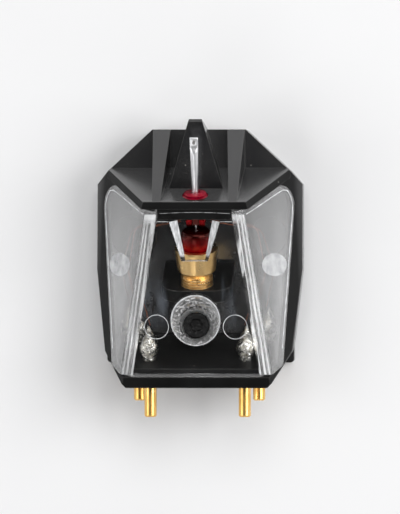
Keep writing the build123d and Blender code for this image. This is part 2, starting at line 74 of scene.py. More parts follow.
bpy.context.scene.view_settings.view_transform = "Standard"
print("lens:", round(camera_data.lens, 1), "mm")

# %% [markdown]
# ## Material helpers
# Every finish is a Principled shader whose colour, roughness and normal come from procedural textures on
# Object coordinates. Small helpers keep the cells short: they start a material, add a node, ramp a colour,
# move a value to another range, multiply values, mix two colours and give a finish to solids.


# %% Material helpers
def start_finish(name):
    """A new material with its Principled shader and its Object coordinates."""
    material = bpy.data.materials.new(name)
    material.use_nodes = True
    tree = material.node_tree
    shader = tree.nodes["Principled BSDF"]
    coords = tree.nodes.new("ShaderNodeTexCoord")
    return material, tree, shader, coords.outputs["Object"]


def add_node(tree, kind, links=None, **settings):
    """A node with its properties, socket values and incoming links."""
    node = tree.nodes.new("ShaderNode" + kind)
    for key, value in settings.items():
        if hasattr(node, key):
            setattr(node, key, value)
        else:
            node.inputs[key.replace("_", " ")].default_value = value
    for key, source in (links or {}).items():
        tree.links.new(source, node.inputs[key])
    return node


def colour_ramp(tree, source, stops):
    """A colour ramp from (position, colour) pairs."""
    ramp = add_node(tree, "ValToRGB", {"Fac": source})
    elements = ramp.color_ramp.elements
    while len(elements) < len(stops):
        elements.new(0.5)
    for element, (position, colour) in zip(elements, stops):
        element.position = position
        element.color = (*colour, 1.0)
    return ramp.outputs["Color"]


def value_range(tree, source, low, high, to_low, to_high):
    """A value moved from one range to another, and held inside it."""
    node = add_node(
        tree, "MapRange", {"Value": source}, From_Min=low, From_Max=high, To_Min=to_low, To_Max=to_high
    )
    return node.outputs["Result"]


def product(tree, first, second):
    """Two values multiplied."""
    return add_node(tree, "Math", {0: first, 1: second}, operation="MULTIPLY").outputs[0]


def scaled_sum(tree, value, factor, added):
    """A value times a fixed factor, plus another value."""
    node = add_node(tree, "Math", {0: value, 2: added}, operation="MULTIPLY_ADD")
    node.inputs[1].default_value = factor
    return node.outputs[0]


def mix_colours(tree, factor, first, second):
    """Two colours, each a socket or a fixed colour, mixed by a factor."""
    node = add_node(tree, "Mix", {"Factor": factor}, data_type="RGBA")
    for place, colour in ((6, first), (7, second)):
        if isinstance(colour, tuple):
            node.inputs[place].default_value = (*colour, 1.0)
        else:
            tree.links.new(colour, node.inputs[place])
    return node.outputs[2]


def dress(names, material):
    """Give the finish to these solids."""
    for name in names:
        for material_slot in solids[name].material_slots:
            material_slot.material = material
    print(material.name, "on", ", ".join(names))


# %% [markdown]
# ## Shared effects
# Three effects return on several finishes, so each is a node group: the fine grain that a spark-eroded mould
# leaves on plastic, the sparse dust that lies on every real part, and the small rounding that no moulded or
# turned edge is without. The rounding could be a Bevel modifier, but the solids are loose triangles, so the
# shader rounds the normal instead and also tells where the edges are.


# %% Node group builder
def start_group(name, inputs, outputs):
    """A shader node group with named float, vector or colour sockets."""
    group = bpy.data.node_groups.new(name, "ShaderNodeTree")
    for label, kind, value in inputs:
        socket = group.interface.new_socket(label, in_out="INPUT", socket_type="NodeSocket" + kind)
        if value is not None:
            socket.default_value = value
    for label, kind in outputs:
        group.interface.new_socket(label, in_out="OUTPUT", socket_type="NodeSocket" + kind)
    return group, group.nodes.new("NodeGroupInput"), group.nodes.new("NodeGroupOutput")


def use_group(tree, group, links, **values):
    """Place a group in a material with its own values."""
    node = tree.nodes.new("ShaderNodeGroup")
    node.node_tree = group
    for key, value in values.items():
        node.inputs[key].default_value = value
    for key, source in links.items():
        tree.links.new(source, node.inputs[key])
    return node


# %% Mould grain
mould_grain, taken, given = start_group(
    "Mould grain",
    [("Vector", "Vector", None), ("Grain", "Float", 9000.0), ("Clouds", "Float", 260.0)],
    [("Height", "Float"), ("Mottle", "Float")],
)
fine = add_node(
    mould_grain, "TexNoise", {"Vector": taken.outputs["Vector"], "Scale": taken.outputs["Grain"]}, Detail=3.0
)
broad = add_node(
    mould_grain, "TexNoise", {"Vector": taken.outputs["Vector"], "Scale": taken.outputs["Clouds"]}, Detail=4.0
)
mould_grain.links.new(fine.outputs["Fac"], given.inputs["Height"])
mould_grain.links.new(broad.outputs["Fac"], given.inputs["Mottle"])

# %% Dust
EMPTY_SHARE = 0.72
dust_specks, taken, given = start_group(
    "Dust specks",
    [("Vector", "Vector", None), ("Density", "Float", 700.0), ("Size", "Float", 0.12)],
    [("Mask", "Float")],
)
cells = add_node(
    dust_specks, "TexVoronoi", {"Vector": taken.outputs["Vector"], "Scale": taken.outputs["Density"]}
)
chance = add_node(dust_specks, "SeparateColor", {"Color": cells.outputs["Color"]})
speck_size = product(dust_specks, chance.outputs["Red"], taken.outputs["Size"])
speck = add_node(dust_specks, "Math", {0: cells.outputs["Distance"], 1: speck_size}, operation="LESS_THAN")
chosen = add_node(dust_specks, "Math", {0: chance.outputs["Green"]}, operation="GREATER_THAN")
chosen.inputs[1].default_value = EMPTY_SHARE
shown = product(dust_specks, speck.outputs[0], chosen.outputs[0])
dust_specks.links.new(shown, given.inputs["Mask"])

# %% Soft edge
soft_edge, taken, given = start_group(
    "Soft edge", [("Radius", "Float", 0.0001)], [("Normal", "Vector"), ("Edge", "Float")]
)
rounded = add_node(soft_edge, "Bevel", {"Radius": taken.outputs["Radius"]}, samples=6)
surface = add_node(soft_edge, "NewGeometry")
agree = add_node(
    soft_edge,
    "VectorMath",
    {0: rounded.outputs["Normal"], 1: surface.outputs["True Normal"]},
    operation="DOT_PRODUCT",
)
edge_mask = value_range(soft_edge, agree.outputs["Value"], 0.985, 0.75, 0.0, 1.0)
soft_edge.links.new(rounded.outputs["Normal"], given.inputs["Normal"])
soft_edge.links.new(edge_mask, given.inputs["Edge"])
print("groups:", ", ".join(group.name for group in bpy.data.node_groups))

# %% [markdown]
# ## Black moulding
# The body is one matt black moulding. Flat faces stay dark and the inclined front faces turn grey, because
# they mirror the white table at a low angle; a clear coat does that. Behind the front face the moulding has
# no clear coat, and its black is painted darker as painted shade on the window frames and the upper walls of
# the well, where little light reaches; low down it is polished again. A little mottle, dust, and edges
# painted lighter, partly as wear and partly as a painted highlight, keep it from looking like a flat colour.

# %% Black moulding
AXIS_TILT = math.radians(22.5)
FRONT_LEAN = math.tan(AXIS_TILT)
BAR_Y, BAR_Z = 3.4, 13.2
FRONT_FACE = (BAR_Y + BAR_Z * FRONT_LEAN) * MM
POLISHED_BELOW, ROUGH_ABOVE = 2.2 * MM, 4.6 * MM
ROUGH_START, ROUGH_FULL = 0.06 * MM, 0.1 * MM
black_moulding, tree, shader, where = start_finish("black_moulding")
grain = use_group(tree, mould_grain, {"Vector": where}, Grain=5200.0)
dust = use_group(tree, dust_specks, {"Vector": where}, Density=1100.0, Size=0.1)
edge = use_group(tree, soft_edge, {}, Radius=0.00012)
across = add_node(tree, "VectorMath", {0: where}, operation="DOT_PRODUCT")
across.inputs[1].default_value = (0.0, -1.0, -FRONT_LEAN)
behind = value_range(
    tree, across.outputs["Value"], ROUGH_START - FRONT_FACE, ROUGH_FULL - FRONT_FACE, 0.0, 1.0
)
spot = add_node(tree, "SeparateXYZ", {"Vector": where})
above_flank = value_range(tree, spot.outputs["Z"], POLISHED_BELOW, ROUGH_ABOVE, 0.0, 1.0)
# Behind the front face and above the flank the black is painted darker, as painted shade, and loses its coat.
rough_shaded_side = product(tree, behind, above_flank)
grit = product(tree, grain.outputs["Mottle"], grain.outputs["Height"])
smooth = colour_ramp(tree, grit, [(0.14, (0.004, 0.004, 0.005)), (0.38, (0.02, 0.0195, 0.0195))])
# The darker black of the painted shade behind the front face.
rough = colour_ramp(
    tree, grain.outputs["Mottle"], [(0.3, (0.003, 0.003, 0.003)), (0.7, (0.008, 0.008, 0.008))]
)
plastic = mix_colours(tree, rough_shaded_side, smooth, rough)
# Edges are painted lighter, partly as wear and partly as a painted highlight.
wear_and_highlight = value_range(tree, edge.outputs["Edge"], 0.0, 1.0, 0.0, 0.7)
worn_and_lit = mix_colours(tree, wear_and_highlight, plastic, (0.13, 0.125, 0.12))
dusty = value_range(tree, dust.outputs["Mask"], 0.0, 1.0, 0.0, 0.5)
speckled = mix_colours(tree, dusty, worn_and_lit, (0.42, 0.4, 0.37))
tree.links.new(speckled, shader.inputs["Base Color"])
tree.links.new(value_range(tree, grain.outputs["Mottle"], 0.3, 0.7, 0.42, 0.56), shader.inputs["Roughness"])
shader.inputs["Specular IOR Level"].default_value = 0.1
shader.inputs["Coat IOR"].default_value = 1.75
shader.inputs["Coat Roughness"].default_value = 0.22
skin = value_range(tree, rough_shaded_side, 0.0, 1.0, 1.0, 0.0)
tree.links.new(skin, shader.inputs["Coat Weight"])
relief = add_node(
    tree,
    "Bump",
    {"Height": grain.outputs["Height"], "Normal": edge.outputs["Normal"]},
    Strength=0.25,
    Distance=0.00002,
)
tree.links.new(relief.outputs["Normal"], shader.inputs["Normal"])
dress(["body"], black_moulding)

# %% [markdown]
# ## Floor, world and lamps
# A pale table carries the cartridge. Large soft lamps stand to the right, to the left and high in front, and
# a weak one behind to the left, so the shadows are soft. The sky is darker overhead, because the clear roof
# would mirror a bright one and hide what is under it, and pale towards the horizon.

# %% Floor
floor_mesh = bmesh.new()
bmesh.ops.create_grid(floor_mesh, x_segments=1, y_segments=1, size=1.2)
floor_data = bpy.data.meshes.new("table_top")
floor_mesh.to_mesh(floor_data)
floor_mesh.free()
table_top = bpy.data.objects.new("table_top", floor_data)
bpy.context.scene.collection.objects.link(table_top)
pale_table, tree, shader, where = start_finish("pale_table")
clouds = add_node(tree, "TexNoise", {"Vector": where}, Scale=25.0, Detail=2.0)
table_colour = colour_ramp(
    tree, clouds.outputs["Fac"], [(0.3, (0.84, 0.84, 0.845)), (0.7, (0.87, 0.87, 0.875))]
)
tree.links.new(table_colour, shader.inputs["Base Color"])
shader.inputs["Roughness"].default_value = 0.6
floor_data.materials.append(pale_table)

# %% World
world = bpy.data.worlds.new("studio_sky")
bpy.context.scene.world = world
world.use_nodes = True
sky = world.node_tree
direction = add_node(sky, "TexCoord")
height = add_node(sky, "SeparateXYZ", {"Vector": direction.outputs["Generated"]})
sky_colour = colour_ramp(
    sky, height.outputs["Z"], [(0.0, (0.8, 0.8, 0.8)), (0.35, (0.75, 0.75, 0.76)), (0.8, (0.06, 0.06, 0.06))]
)
sky.links.new(sky_colour, sky.nodes["Background"].inputs["Color"])
sky.nodes["Background"].inputs["Strength"].default_value = 0.8

# %% Lamps
LAMP_TARGET = Vector((0.0, 0.0, 0.006))


def soft_lamp(name, place, size, power):
    """A square soft lamp aimed at the cartridge."""
    lamp = bpy.data.lights.new(name, "AREA")
    lamp.size = size
    lamp.energy = power
    holder = bpy.data.objects.new(name, lamp)
    bpy.context.scene.collection.objects.link(holder)
    holder.location = place
    aim = LAMP_TARGET - Vector(place)
    holder.rotation_euler = aim.to_track_quat("-Z", "Y").to_euler()


soft_lamp("right_lamp", (0.36, 0.06, 0.36), 0.3, 1.62)
soft_lamp("front_lamp", (0.03, 0.27, 0.5), 0.35, 1.02)
soft_lamp("left_lamp", (-0.4, -0.05, 0.34), 0.3, 0.7)
soft_lamp("rear_lamp", (-0.12, -0.4, 0.4), 0.25, 0.35)
print("lamps:", len(bpy.data.lights))

# %% [markdown]
# ## Clear cover
# The cover is clear moulded plastic with a polished roof. Three regions differ, and each is told from its
# place: the side windows carry a bright film that mirrors the table and thins towards the front, the strips
# along the ridges are slightly matt, and the countersink for the screw was cut by a tool and is frosted.
# Shadow rays pass the cover, as light passes a thin clear wall, so that what is under it is lit; all other
# rays refract in it.

# %% Where the cover's regions are
SCREW_PLACE = (0.0, -8.9 * MM)
SINK_RADIUS = 2.45 * MM
RIM_SLANT = 0.193
ROOF_FRONT_Y, ROOF_FRONT_Z, RIDGE_FRONT_X = 1.4, 13.1, 5.1
RIDGE_SPREAD = 0.1633
RIDGE_AT_ORIGIN = (RIDGE_FRONT_X + ROOF_FRONT_Y * RIDGE_SPREAD) * MM
BAND_WIDTH = 1.3 * MM
cover_regions, taken, given = start_group(
    "Cover regions",
    [("Vector", "Vector", None)],
    [("Beyond", "Float"), ("Window", "Float"), ("Band", "Float"), ("Sink", "Float"), ("Reach", "Float")],
)
mirrored = add_node(cover_regions, "VectorMath", {0: taken.outputs["Vector"]}, operation="ABSOLUTE")
half = add_node(cover_regions, "SeparateXYZ", {"Vector": mirrored.outputs["Vector"]})
place = add_node(cover_regions, "SeparateXYZ", {"Vector": taken.outputs["Vector"]})
beyond = scaled_sum(cover_regions, place.outputs["Y"], RIDGE_SPREAD, half.outputs["X"])
window = value_range(cover_regions, beyond, RIDGE_AT_ORIGIN, RIDGE_AT_ORIGIN + 0.06 * MM, 0.0, 1.0)
band_start = RIDGE_AT_ORIGIN - BAND_WIDTH
band = value_range(cover_regions, beyond, band_start - 0.03 * MM, band_start + 0.03 * MM, 0.0, 1.0)
only_band = add_node(cover_regions, "Math", {0: band, 1: window}, operation="SUBTRACT")
from_screw = add_node(cover_regions, "Mapping", {"Vector": taken.outputs["Vector"]})
from_screw.inputs["Location"].default_value = (-SCREW_PLACE[0], -SCREW_PLACE[1], 0.0)
from_screw.inputs["Scale"].default_value = (1.0, 1.0, 0.0)
reach = add_node(cover_regions, "VectorMath", {0: from_screw.outputs["Vector"]}, operation="LENGTH")
ahead = add_node(cover_regions, "SeparateXYZ", {"Vector": from_screw.outputs["Vector"]})
trimmed = scaled_sum(cover_regions, ahead.outputs["Y"], -RIM_SLANT, reach.outputs["Value"])
sink = value_range(cover_regions, trimmed, SINK_RADIUS, SINK_RADIUS - 0.05 * MM, 0.0, 1.0)
cover_regions.links.new(beyond, given.inputs["Beyond"])
cover_regions.links.new(window, given.inputs["Window"])
cover_regions.links.new(only_band.outputs[0], given.inputs["Band"])
cover_regions.links.new(sink, given.inputs["Sink"])
cover_regions.links.new(reach.outputs["Value"], given.inputs["Reach"])

# %% Clear cover
SINK_ROUGHNESS, BAND_ROUGHNESS = 0.35, 0.16
clear_plastic, tree, shader, where = start_finish("clear_plastic")
shader.inputs["Base Color"].default_value = (0.97, 0.975, 0.975, 1.0)
shader.inputs["Transmission Weight"].default_value = 1.0
shader.inputs["IOR"].default_value = 1.53
shader.inputs["Coat IOR"].default_value = 2.1
shader.inputs["Coat Roughness"].default_value = 0.08
regions = use_group(tree, cover_regions, {"Vector": where})
smears = add_node(tree, "TexNoise", {"Vector": where}, Scale=420.0, Detail=5.0)
film = value_range(tree, smears.outputs["Fac"], 0.3, 0.7, 0.75, 1.0)
spot = add_node(tree, "SeparateXYZ", {"Vector": where})
clearer_front = value_range(tree, spot.outputs["Y"], 4.5 * MM, -7.0 * MM, 0.45, 1.0)
patchy = product(tree, film, clearer_front)
coat = product(tree, patchy, regions.outputs["Window"])
tree.links.new(coat, shader.inputs["Coat Weight"])
scratches = add_node(tree, "TexNoise", {"Vector": where}, Scale=1500.0, Detail=4.0)
polish = value_range(tree, scratches.outputs["Fac"], 0.35, 0.75, 0.0, 0.035)
frosted = scaled_sum(tree, regions.outputs["Sink"], SINK_ROUGHNESS, polish)
roughness = scaled_sum(tree, regions.outputs["Band"], BAND_ROUGHNESS, frosted)
tree.links.new(roughness, shader.inputs["Roughness"])
tool_marks = add_node(tree, "TexNoise", {"Vector": where}, Scale=4000.0, Detail=3.0)
sink_relief = product(tree, tool_marks.outputs["Fac"], regions.outputs["Sink"])
edge = use_group(tree, soft_edge, {}, Radius=0.00012)
relief = add_node(
    tree,
    "Bump",
    {"Height": sink_relief, "Normal": edge.outputs["Normal"]},
    Strength=0.6,
    Distance=0.00004,
)
tree.links.new(relief.outputs["Normal"], shader.inputs["Normal"])


def pass_shadow_rays(tree, shader):
    """Let shadow rays through a clear finish and leave all other rays to its shader."""
    rays = add_node(tree, "LightPath")
    through = add_node(tree, "BsdfTransparent")
    mixed = add_node(tree, "MixShader", {"Fac": rays.outputs["Is Shadow Ray"]})
    tree.links.new(shader.outputs["BSDF"], mixed.inputs[1])
    tree.links.new(through.outputs["BSDF"], mixed.inputs[2])
    tree.links.new(mixed.outputs["Shader"], tree.nodes["Material Output"].inputs["Surface"])


pass_shadow_rays(tree, shader)
dress(["clear_cover"], clear_plastic)

# %% [markdown]
# ## Metals
# Gold on the pins, turned brass on the sleeve, drawn aluminium on the cantilever and grainy tin on the joints
# are all metals that differ in colour and in the marks that made them. One recipe makes them: a colour with
# some tarnish, a roughness that varies, and a fine relief of lines or grain.


# %% Metals
def metal_finish(name, bright, dull, rough, lines, depth, tarnish=500.0, rounding=0.00005):
    """A metal with tarnish, and relief from noise stretched by the scale of its lines."""
    material, tree, shader, where = start_finish(name)
    shader.inputs["Metallic"].default_value = 1.0
    clouds = add_node(tree, "TexNoise", {"Vector": where}, Scale=tarnish, Detail=4.0)
    tree.links.new(
        colour_ramp(tree, clouds.outputs["Fac"], [(0.35, bright), (0.75, dull)]), shader.inputs["Base Color"]
    )
    tree.links.new(value_range(tree, clouds.outputs["Fac"], 0.3, 0.7, *rough), shader.inputs["Roughness"])
    stretch = add_node(tree, "Mapping", {"Vector": where})
    stretch.inputs["Scale"].default_value = lines
    marks = add_node(tree, "TexNoise", {"Vector": stretch.outputs["Vector"]}, Scale=1.0, Detail=3.0)
    relief = add_node(tree, "Bump", {"Height": marks.outputs["Fac"]}, Strength=0.4, Distance=depth)
    if rounding:
        edge = use_group(tree, soft_edge, {}, Radius=rounding)
        tree.links.new(edge.outputs["Normal"], relief.inputs["Normal"])
    tree.links.new(relief.outputs["Normal"], shader.inputs["Normal"])
    return material


PLACES = ["left_inner", "right_inner", "left_outer", "right_outer"]
METALS = [
    ("gold_plate", (0.93, 0.6, 0.2), (0.72, 0.4, 0.1), (0.24, 0.36), (9000, 500, 9000), 0.000004),
    ("sleeve_brass", (0.96, 0.66, 0.3), (0.7, 0.43, 0.16), (0.24, 0.36), (500, 9000, 9000), 0.000005),
    ("insert_brass", (0.8, 0.6, 0.28), (0.6, 0.42, 0.17), (0.25, 0.4), (6000, 6000, 400), 0.000005),
    ("solder", (0.9, 0.89, 0.86), (0.3, 0.26, 0.18), (0.14, 0.36), (3200, 3200, 3200), 0.0004, 2400.0),
    ("soft_iron", (0.5, 0.5, 0.51), (0.32, 0.31, 0.3), (0.3, 0.5), (3000, 3000, 3000), 0.000006),
    ("nickelled_magnet", (0.75, 0.72, 0.68), (0.6, 0.57, 0.52), (0.2, 0.3), (3000, 3000, 3000), 0.000004),
    ("lead_copper", (0.26, 0.09, 0.05), (0.14, 0.04, 0.025), (0.25, 0.4), (3000, 3000, 3000), 0.000004),
    ("coil_copper", (0.3, 0.012, 0.014), (0.14, 0.004, 0.006), (0.25, 0.4), (900, 9000, 9000), 0.00001),
    ("black_steel", (0.034, 0.034, 0.034), (0.012, 0.012, 0.012), (0.3, 0.55), (2600, 2600, 2600), 0.0003),
]
metals = {recipe[0]: metal_finish(*recipe) for recipe in METALS}
drawn_tube = metal_finish(
    "bright_aluminium",
    (0.93, 0.93, 0.94),
    (0.72, 0.72, 0.74),
    (0.32, 0.42),
    (9000, 250, 6000),
    0.0000006,
    rounding=0.0,
)
dress(["pin_" + place for place in PLACES], metals["gold_plate"])
dress(["generator_sleeve"], metals["sleeve_brass"])
dress(["mount_inserts"], metals["insert_brass"])
dress(["solder_" + place for place in PLACES], metals["solder"])
dress(["cantilever"], drawn_tube)
dress(["pole_piece", "suspension_wire"], metals["soft_iron"])
dress(["magnet"], metals["nickelled_magnet"])
dress(["lead_" + place for place in PLACES], metals["lead_copper"])
dress(["coil_left", "coil_right"], metals["coil_copper"])
dress(["cover_screw"], metals["black_steel"])

# %% [markdown]
# ## Red rubber
# The seal round the cantilever and the suspension bush are soft red rubber that lets a little light in.
# Subsurface scattering gives the deep crimson that a plain diffuse red lacks. The front of the bush lies in
# the shade of the bar, so its red rises along the axis of the generator.

# %% Red rubber
back_along_axis = Vector((0.0, -math.cos(AXIS_TILT), -math.sin(AXIS_TILT)))
SHADE = 0.12


def rubber_finish(name, deep, pale, depth, shaded=None):
    """A soft red that lets light in to a depth in metres, shaded between two distances along the axis."""
    material, tree, shader, where = start_finish(name)
    grain = use_group(tree, mould_grain, {"Vector": where}, Grain=6000.0, Clouds=900.0)
    reds = colour_ramp(tree, grain.outputs["Mottle"], [(0.3, deep), (0.7, pale)])
    if shaded:
        along = add_node(tree, "VectorMath", {0: where}, operation="DOT_PRODUCT")
        along.inputs[1].default_value = back_along_axis
        lit = value_range(tree, along.outputs["Value"], *shaded, 0.0, 1.0)
        reds = mix_colours(tree, lit, tuple(value * SHADE for value in deep), reds)
    tree.links.new(reds, shader.inputs["Base Color"])
    gloss = value_range(tree, grain.outputs["Mottle"], 0.3, 0.7, 0.14, 0.3)
    tree.links.new(gloss, shader.inputs["Roughness"])
    shader.inputs["Specular Tint"].default_value = (1.0, 0.24, 0.2, 1.0)
    shader.inputs["Subsurface Weight"].default_value = 0.25
    shader.inputs["Subsurface Radius"].default_value = (depth, depth / 6, depth / 6)
    shader.inputs["Subsurface Scale"].default_value = 1.0
    relief = add_node(tree, "Bump", {"Height": grain.outputs["Height"]}, Strength=0.15, Distance=0.00001)
    tree.links.new(relief.outputs["Normal"], shader.inputs["Normal"])
    return material


red_rubber = rubber_finish("red_rubber", (0.13, 0.0, 0.008), (0.34, 0.004, 0.026), 0.0006)
dress(["front_seal"], red_rubber)
dark_rubber = rubber_finish(
    "dark_rubber", (0.06, 0.0, 0.001), (0.3, 0.003, 0.006), 0.0004, shaded=(-4.2 * MM, -3.0 * MM)
)
dress(["suspension_bush"], dark_rubber)
dress(["coil_former"], rubber_finish("former_plastic", (0.008, 0.001, 0.001), (0.03, 0.003, 0.003), 0.0001))

# %% [markdown]
# ## Stylus
# The tip is a tiny diamond. At this size it reads as a dark glint, so a dark polished finish with some
# streaks does.

# %% Stylus
diamond, tree, shader, where = start_finish("diamond")
clouds = add_node(tree, "TexNoise", {"Vector": where}, Scale=9000.0)
tree.links.new(
    colour_ramp(tree, clouds.outputs["Fac"], [(0.3, (0.05, 0.045, 0.04)), (0.7, (0.16, 0.15, 0.14))]),
    shader.inputs["Base Color"],
)
shader.inputs["Roughness"].default_value = 0.08
shader.inputs["IOR"].default_value = 2.4
dress(["stylus"], diamond)

# %% [markdown]
# ## Small pieces
# What the solids leave plain is modelled here. Each piece is a skin through a row of sections with the same
# number of points: one helper builds the skin, another turns it into an object that rides on a body and names
# its material slot, and a third does so for the trim of the clear moulding.


# %% Piece helpers
def skin_through(sections, closed=False):
    """A bmesh skin through sections of equal point count, capped at open ends."""
    mesh = bmesh.new()
    rows = [[mesh.verts.new(point) for point in section] for section in sections]
    for first, second in zip(rows, rows[1:] + rows[:1] if closed else rows[1:]):
        for here in range(len(first)):
            after = (here + 1) % len(first)
            mesh.faces.new((first[here], first[after], second[after], second[here]))
    if not closed:
        mesh.faces.new(rows[0])
        mesh.faces.new(rows[-1])
    return mesh


def add_piece(name, mesh, material, body, smooth=True):
    """Turn a bmesh into an object at the origin that rides on a body."""
    bmesh.ops.recalc_face_normals(mesh, faces=mesh.faces)
    data = bpy.data.meshes.new(name)
    mesh.to_mesh(data)
    mesh.free()
    data.polygons.foreach_set("use_smooth", [smooth] * len(data.polygons))
    data.materials.append(material)
    piece = bpy.data.objects.new(name, data)
    bpy.context.scene.collection.objects.link(piece)
    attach(piece, body)
    print(name, "faces:", len(data.polygons))
    return piece


def add_trim(name, mesh, material, smooth=True):
    """Add a thin piece of the clear moulding."""
    add_piece(name, mesh, material, "chassis", smooth)


# %% [markdown]
# ## The cover's planes
# The roof slopes to the rear, the ridges spread, and each side window is a plane through its ridge. The same
# few numbers as in the solids place the frosted faces, the moulding marks and the bright edges on those
# planes.

# %% The cover's planes
ROOF_TILT = math.radians(11.5)
ROOF_SLOPE = math.tan(ROOF_TILT)
RIDGE_DROP = 0.6
FACET_LEAN = 0.5722
roof_normal = Vector((0.0, -math.sin(ROOF_TILT), math.cos(ROOF_TILT)))
SIDES = ((-1, "left"), (1, "right"))


def roof_z(y):
    """Height of the cover's roof in millimetres."""
    return ROOF_FRONT_Z + (y - ROOF_FRONT_Y) * ROOF_SLOPE


def ridge_x(y):
    """Half width of the cover's ridges in millimetres."""
    return RIDGE_FRONT_X + (ROOF_FRONT_Y - y) * RIDGE_SPREAD


def window_x(y, z):
    """Half width of the side windows in millimetres."""
    return ridge_x(y) + (roof_z(y) - RIDGE_DROP - z) * FACET_LEAN


def window_z(x, y):
    """Height of the side windows in millimetres."""
    return roof_z(y) - RIDGE_DROP - (x - ridge_x(y)) / FACET_LEAN


# %% [markdown]
# ## Frosted plastic
# Cut and scuffed faces of clear plastic look white, because they scatter light. A thin white skin whose alpha
# varies does that: almost closed on the cut faces of the notch, and faint on the marks that the ejector pins
# left. The same white skin, almost closed, makes painted highlights along fine edges of the cover.


# %% Frosted plastic
def frosted_finish(name, scale, stretch, alpha, rough=0.45):
    """White scattered light with an alpha from noise, held between the two values of alpha."""
    material, tree, shader, where = start_finish(name)
    flow = add_node(tree, "Mapping", {"Vector": where})
    flow.inputs["Scale"].default_value = stretch
    scatter = add_node(tree, "TexNoise", {"Vector": flow.outputs["Vector"]}, Scale=scale, Detail=5.0)
    tree.links.new(value_range(tree, scatter.outputs["Fac"], 0.36, 0.64, *alpha), shader.inputs["Alpha"])
    tree.links.new(
        colour_ramp(tree, scatter.outputs["Fac"], [(0.3, (0.7, 0.71, 0.73)), (0.7, (0.93, 0.94, 0.95))]),
        shader.inputs["Base Color"],
    )
    shader.inputs["Roughness"].default_value = rough
    return material


mark_plastic = frosted_finish("mark_plastic", 900.0, (1.0, 1.0, 1.0), (0.3, 0.42), 0.8)
# Frost on the countersink rim and the ejector rings; a painted highlight on the window edges.
frost_and_highlight_plastic = frosted_finish("frost_and_highlight_plastic", 1500.0, (1.0, 1.0, 1.0), (0.5, 0.95))
# Painted highlights along the roof's front edges and the front lip.
edge_highlight_plastic = frosted_finish("edge_highlight_plastic", 1500.0, (1.0, 1.0, 1.0), (0.12, 0.5))

# %% [markdown]
# The inner ends of the notch's cut faces lie in shade and are almost black. The cone of the countersink is
# white only in sparse grains, and clearer near its foot.

# %% Cut faces
cut_plastic = frosted_finish("cut_plastic", 2400.0, (1.0, 0.4, 1.0), (0.45, 0.98))
tree = cut_plastic.node_tree
shader = tree.nodes["Principled BSDF"]
where = tree.nodes["Texture Coordinate"].outputs["Object"]
spot = add_node(tree, "SeparateXYZ", {"Vector": where})
lit = value_range(tree, spot.outputs["Y"], -2.15 * MM, -1.9 * MM, 0.0, 1.0)
white = shader.inputs["Base Color"].links[0].from_socket
tree.links.new(mix_colours(tree, lit, (0.012, 0.012, 0.014), white), shader.inputs["Base Color"])
sink_plastic, tree, shader, where = start_finish("sink_plastic")
regions = use_group(tree, cover_regions, {"Vector": where})
grains = add_node(tree, "TexNoise", {"Vector": where}, Scale=4600.0, Detail=4.0)
sparse = value_range(tree, grains.outputs["Fac"], 0.48, 0.66, 0.05, 0.75)
from_foot = value_range(tree, regions.outputs["Reach"], 1.5 * MM, 2.2 * MM, 0.15, 1.0)
opacity = product(tree, sparse, from_foot)
tree.links.new(opacity, shader.inputs["Alpha"])
tree.links.new(
    colour_ramp(tree, grains.outputs["Fac"], [(0.4, (0.5, 0.5, 0.51)), (0.66, (0.95, 0.95, 0.95))]),
    shader.inputs["Base Color"],
)

# %% [markdown]
# ## Notch and countersink
# The notch over the generator was milled: its two side walls get a cut face. The countersink is a cone
# trimmed by the sloping roof, so the radius of its rim follows from the slope in each direction.

# %% Notch walls
NOTCH_FRONT, NOTCH_REAR, NOTCH_LONG = 3.8, 1.3, 4.0
FRONT_DRAFT, REAR_DRAFT, ROOF_THICK = 1.3, 0.3, 0.85
CUT_STEPS, CUT_STOP = 12, -0.03
along_roof = Vector((0.0, math.cos(ROOF_TILT), math.sin(ROOF_TILT)))
roof_origin = Vector((0.0, ROOF_FRONT_Y, ROOF_FRONT_Z))


def notch_point(side, share, depth, inset):
    """A point on a side wall of the notch: share runs from its end wall to the open front."""
    front_ease, rear_ease = FRONT_DRAFT * depth / ROOF_THICK, REAR_DRAFT * depth / ROOF_THICK
    start = -NOTCH_LONG
    along = start + (CUT_STOP - start) * share
    rear, front = NOTCH_REAR - rear_ease, NOTCH_FRONT - front_ease
    half = rear + (front - rear) * (along - start) / (NOTCH_LONG - start)
    out_of_middle = Vector((side * (half - inset), 0, 0))
    return (roof_origin + out_of_middle + along_roof * along - roof_normal * depth) * MM


CUT_DEPTHS = ((0.02, 0.012), (0.82, 0.012), (0.82, 0.03), (0.02, 0.03))
for side, label in SIDES:
    shares = [step / CUT_STEPS for step in range(CUT_STEPS + 1)]
    sections = [[notch_point(side, share, *cut) for cut in CUT_DEPTHS] for share in shares]
    add_trim("notch_cut_" + label, skin_through(sections), cut_plastic, smooth=False)

# %% Countersink
SINK_FOOT_R, SINK_FOOT_Z, SINK_SLOPE = 1.45, 9.95, 0.9484
SINK_STEPS = 96


def sink_point(turn, share, inset):
    """A point on the cone of the countersink: share runs from its foot to the roof."""
    rise = math.cos(turn)
    level_rim = SINK_FOOT_R + (roof_z(SCREW_PLACE[1] / MM) - SINK_FOOT_Z) * SINK_SLOPE
    rim = level_rim / (1 - ROOF_SLOPE * SINK_SLOPE * rise)
    radius = SINK_FOOT_R + (rim - SINK_FOOT_R) * share
    height = SINK_FOOT_Z + (radius - SINK_FOOT_R) / SINK_SLOPE
    radius -= inset
    return Vector((radius * math.sin(turn), SCREW_PLACE[1] / MM + radius * rise, height)) * MM


